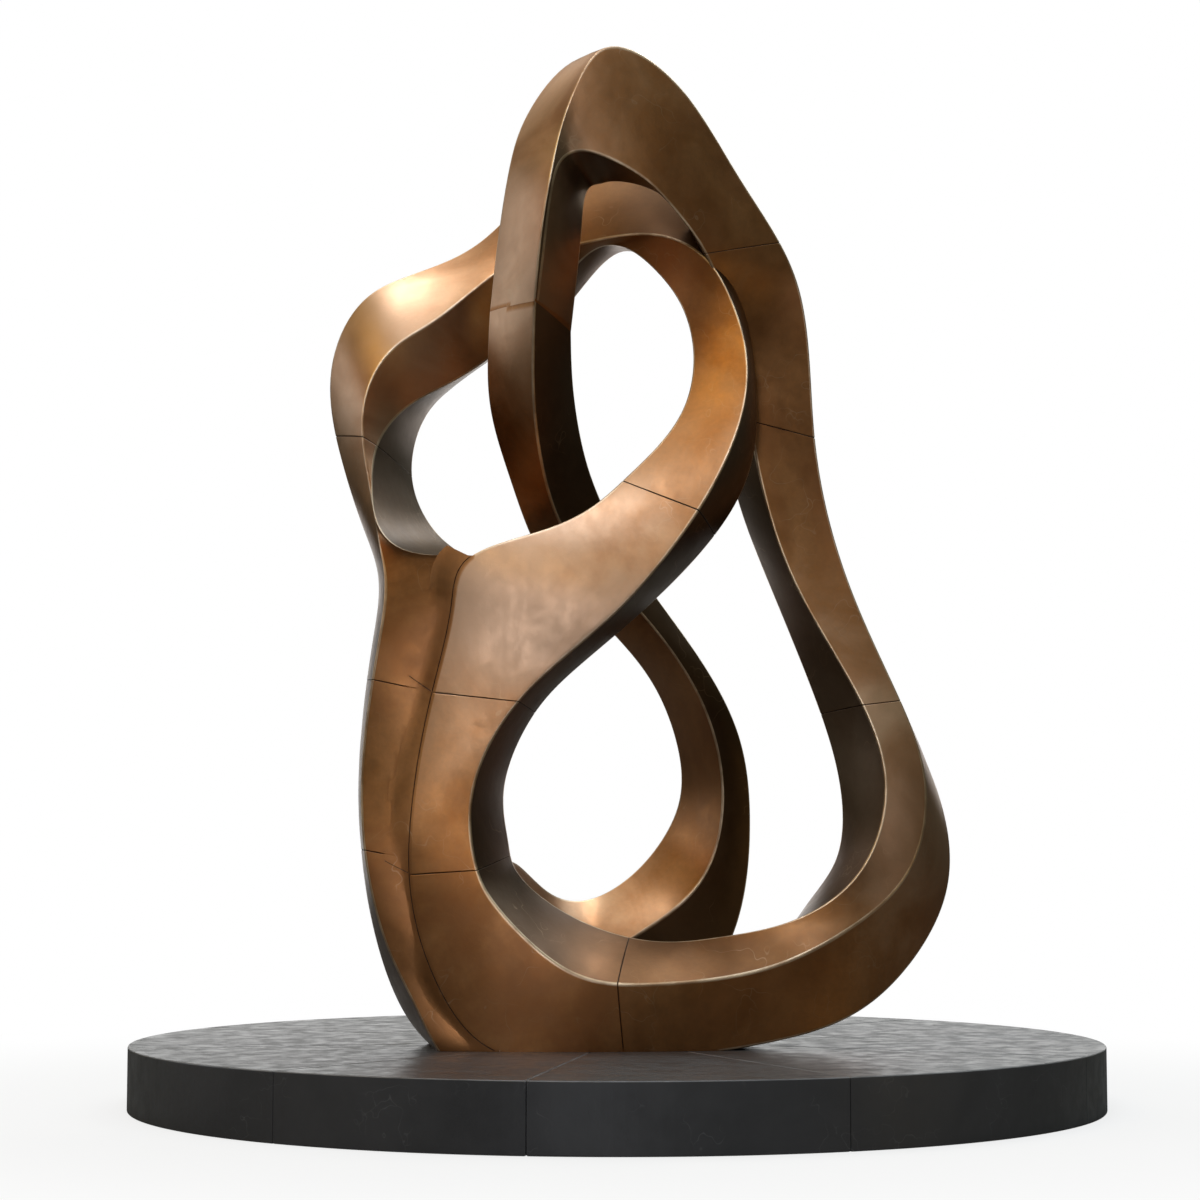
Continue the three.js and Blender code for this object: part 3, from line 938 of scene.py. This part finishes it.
# %% Bronze gloss and relief
tall = put(tree, "Mapping", {"Vector": coords, "Scale": (60.0, 60.0, 2.5)})
streaks = put(tree, "TexNoise", {"Vector": tall.outputs["Vector"], "Scale": 1.0,
              "Detail": 3.0}).outputs["Fac"]
rough = weighted(tree, (cloud.outputs["Fine"], 0.05), (streaks, 0.08),
                 (smudge.outputs["Broad"], 0.05), (1.0, 0.29), (weld_mask, 0.25))
relief = weighted(tree, (cloud.outputs["Fine"], 0.35), (smudge.outputs["Fine"], 0.25),
                  (hairs.outputs["Mask"], -0.3))
wax = weighted(tree, (1.0, 0.4), (flank, -0.34))
feed(tree, shader, {"Base Color": patina, "Roughness": rough, "Coat Weight": wax,
                    "Normal": relief_normal(tree, relief, 0.35)})
shader.inputs["Metallic"].default_value = 1.0
shader.inputs["Coat Roughness"].default_value = 0.34
print("bronze nodes:", len(tree.nodes))

# %% [markdown]
# ## Honed dark stone
#
# The plinth is a dark, nearly black stone, sawn and honed. It is not polished, so it mirrors the
# ribbon only softly. Its faces are a little uneven in tone, its rims are paler where they were
# ground, and cleaning left curly hairs on its sides.

# %% Stone
stone, tree, shader, coords = new_material("dark_stone")
tone = use_group(tree, clouds, {"Vector": coords, "Size": 0.5})
grain = use_group(tree, clouds, {"Vector": coords, "Size": 0.03})
hairs = use_group(tree, scratches, {"Vector": coords, "Size": 0.12, "Width": 0.011,
                                    "Amount": 0.7})
[edge] = attributes_of(tree, "edge")
rim = use_group(tree, rubbed, {"Vector": coords, "Edge": edge, "Strength": 0.7})
dark_grey = (0.050, 0.050, 0.053, 1)
soft_grey = (0.078, 0.078, 0.082, 1)
stone_layers = {
    "grain": (weighted(tree, (grain.outputs["Fine"], 0.3)), (0.070, 0.070, 0.072, 1)),
    "curly hairs": (hairs.outputs["Mask"], (0.15, 0.15, 0.155, 1)),
    "ground rims": (rim.outputs["Mask"], (0.34, 0.34, 0.35, 1)),
}
grey = blend_colours(tree, tone.outputs["Broad"], dark_grey, soft_grey)
grey = layered(tree, grey, stone_layers)
rough = weighted(tree, (tone.outputs["Fine"], 0.16), (1.0, 0.28))
relief = weighted(tree, (grain.outputs["Fine"], 0.12), (tone.outputs["Fine"], 0.6))
feed(tree, shader, {"Base Color": grey, "Roughness": rough,
                    "Normal": relief_normal(tree, relief, 0.03)})
print("stone nodes:", len(tree.nodes))

# %% [markdown]
# ## Placing the pieces
#
# Each piece takes its finish, rides on the model's only body and stands for the solid that it
# refines. The ribbon replaces the whole band, and each slab its own slab.

# %% Pieces and the solids they stand for
ribbon.data.materials.clear()
ribbon.data.materials.append(bronze)
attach(ribbon, "root")
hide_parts("bronze_band")
for index, piece in enumerate(slabs):
    piece.data.materials.append(stone)
    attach(piece, "root")
    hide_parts("plinth_slab_%d" % (index + 1))
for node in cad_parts.values():
    finish = bronze if node.name == "bronze_band" else stone
    node.data.materials.clear()
    node.data.materials.append(finish)
print("pieces:", 1 + len(slabs))

# %% [markdown]
# ## Floor
#
# The object stands on a plain pale floor that fades into a white surround. A white plane would do
# for the camera, but metal shows what is round it, and over a white floor the bronze would look
# pale. So the camera sees a white floor with a soft shadow, and reflections see a dim grey one.

# %% Floor
floor_radius = 9.0
floor_sides = 96
fade_from, fade_to = 1.2, 3.2
glow_near = 0.78
angle = 2 * np.pi * np.arange(floor_sides) / floor_sides
rim_points = floor_radius * np.stack([np.cos(angle), np.sin(angle), 0 * angle], axis=1)
floor = body_of("floor", rim_points, np.empty((0, 4), int), [range(floor_sides)], {})

floor_finish = bpy.data.materials.new("pale_floor")
floor_finish.use_nodes = True
tree = floor_finish.node_tree
tree.nodes.remove(tree.nodes["Principled BSDF"])
seen = put(tree, "LightPath").outputs["Is Camera Ray"]
spot = put(tree, "TexCoord").outputs["Object"]
reach = put(tree, "VectorMath", {0: spot}, operation="LENGTH").outputs["Value"]
fading = remap(tree, reach, fade_from, fade_to, glow_near, 1.0)
lit = put(tree, "BsdfDiffuse", {"Color": (0.92, 0.92, 0.92, 1)}).outputs[0]
dim = put(tree, "BsdfDiffuse", {"Color": (0.14, 0.14, 0.14, 1)}).outputs[0]
glow = put(tree, "Emission", {"Color": (1, 1, 1, 1), "Strength": 1.0}).outputs[0]
near_white = put(tree, "MixShader", {0: fading, 1: lit, 2: glow}).outputs[0]
shown = put(tree, "MixShader", {0: seen, 1: dim, 2: near_white}).outputs[0]
tree.links.new(shown, tree.nodes["Material Output"].inputs["Surface"])
floor.data.materials.append(floor_finish)
print("floor radius: %.1f m" % floor_radius)

# %% [markdown]
# ## Surround
#
# The camera sees a white surround, and the metal sees a dim studio: dark below and at eye level,
# and a ceiling that is warmer on the left than on the right. A picture of a room would show its
# own details in the metal, so two smooth steps stand in for it.

# %% Surround
world = bpy.data.worlds.new("studio")
bpy.context.scene.world = world
world.use_nodes = True
tree = world.node_tree
tree.nodes.clear()
seen = put(tree, "LightPath").outputs["Is Camera Ray"]
sky = put(tree, "TexCoord").outputs["Generated"]
look = put(tree, "SeparateXYZ", {0: sky})
side = remap(tree, look.outputs["X"], -0.7, 0.5)
ceiling = blend_colours(tree, side, (0.33, 0.27, 0.15, 1), (0.24, 0.27, 0.24, 1))
height = remap(tree, look.outputs["Z"], 0.35, 0.85)
room = blend_colours(tree, height, (0.064, 0.066, 0.052, 1), ceiling)
shade = blend_colours(tree, seen, room, (1.0, 1.0, 1.0, 1))
back = put(tree, "Background", {"Color": shade, "Strength": 1.0}).outputs[0]
surround = put(tree, "OutputWorld")
tree.links.new(back, surround.inputs["Surface"])
bpy.context.scene.view_settings.view_transform = "Standard"
print("surround nodes:", len(tree.nodes))

# %% [markdown]
# ## Soft panels
#
# The light is fifteen soft panels in that dim room. Three in front, one above the other, light
# the faces that look at the viewer. Three on the left and two on the right, mostly warm, colour
# the sides. Five broad ones overhead and behind pick out the top faces, and two small strong ones
# make the hot spots. One large lamp would be simpler, but satin metal shows each light as a soft
# patch, and the patches need places of their own.

# %% Panels
middle_height = 1.3


def panel(name, azimuth, rise, distance, width, height, brightness, colour=(1.0, 1.0, 1.0)):
    """A soft rectangular light in a direction from the middle of the object, turned to face it:
    azimuth in degrees from the viewer's side towards the right, and rise above the horizon. Its
    power is its brightness times its area and pi."""
    data = bpy.data.lights.new(name, "AREA")
    data.shape = "RECTANGLE"
    data.size, data.size_y = width, height
    data.energy = brightness * math.pi * width * height
    data.color = colour
    lamp = bpy.data.objects.new(name, data)
    bpy.context.scene.collection.objects.link(lamp)
    turn, tilt = math.radians(azimuth), math.radians(rise)
    lamp.location = (distance * math.sin(turn) * math.cos(tilt),
                     -distance * math.cos(turn) * math.cos(tilt),
                     middle_height + distance * math.sin(tilt))
    lamp.rotation_euler = (math.pi / 2 - tilt, 0, turn)
    lamp.visible_camera = False


panel("front", -8, 2, 9.0, 1.2, 2.0, 5.5, (0.95, 1.0, 1.15))
panel("front_mid", -8, 20, 9.0, 1.2, 1.6, 5.0, (1.0, 0.84, 0.58))
panel("front_high", -6, 45, 8.0, 3.4, 2.4, 3.9, (0.86, 1.0, 1.25))
panel("left_high", -56, 50, 8.0, 4.0, 2.6, 1.3, (1.0, 0.70, 0.20))
panel("left_mid", -75, 25, 8.0, 2.0, 3.0, 0.8, (1.0, 0.45, 0.15))
panel("left", -100, 16, 7.0, 2.2, 4.8, 1.15, (0.78, 0.88, 1.0))
panel("right_front", 39, 20, 8.0, 1.4, 3.2, 1.0, (0.95, 0.93, 1.0))
panel("right_low", 60, -6, 8.0, 2.0, 2.0, 0.9, (1.0, 0.75, 0.35))
panel("back_right", 146, 44, 7.0, 5.0, 4.0, 1.9, (0.84, 0.97, 1.05))
panel("back_high", 180, 66, 6.0, 6.0, 4.0, 0.5, (1.0, 0.88, 0.70))
panel("back_left", -150, 30, 7.0, 4.0, 4.0, 0.42)
panel("overhead", 0, 84, 6.0, 4.0, 4.0, 1.2, (0.85, 1.0, 1.25))
panel("spot_left", -115, 73, 4.4, 0.4, 0.4, 22.0)
panel("spot_right", 152, 56, 5.1, 0.4, 0.4, 26.0, (1.0, 0.95, 0.85))
panel("behind", 180, 0, 9.0, 9.0, 2.4, 1.5)
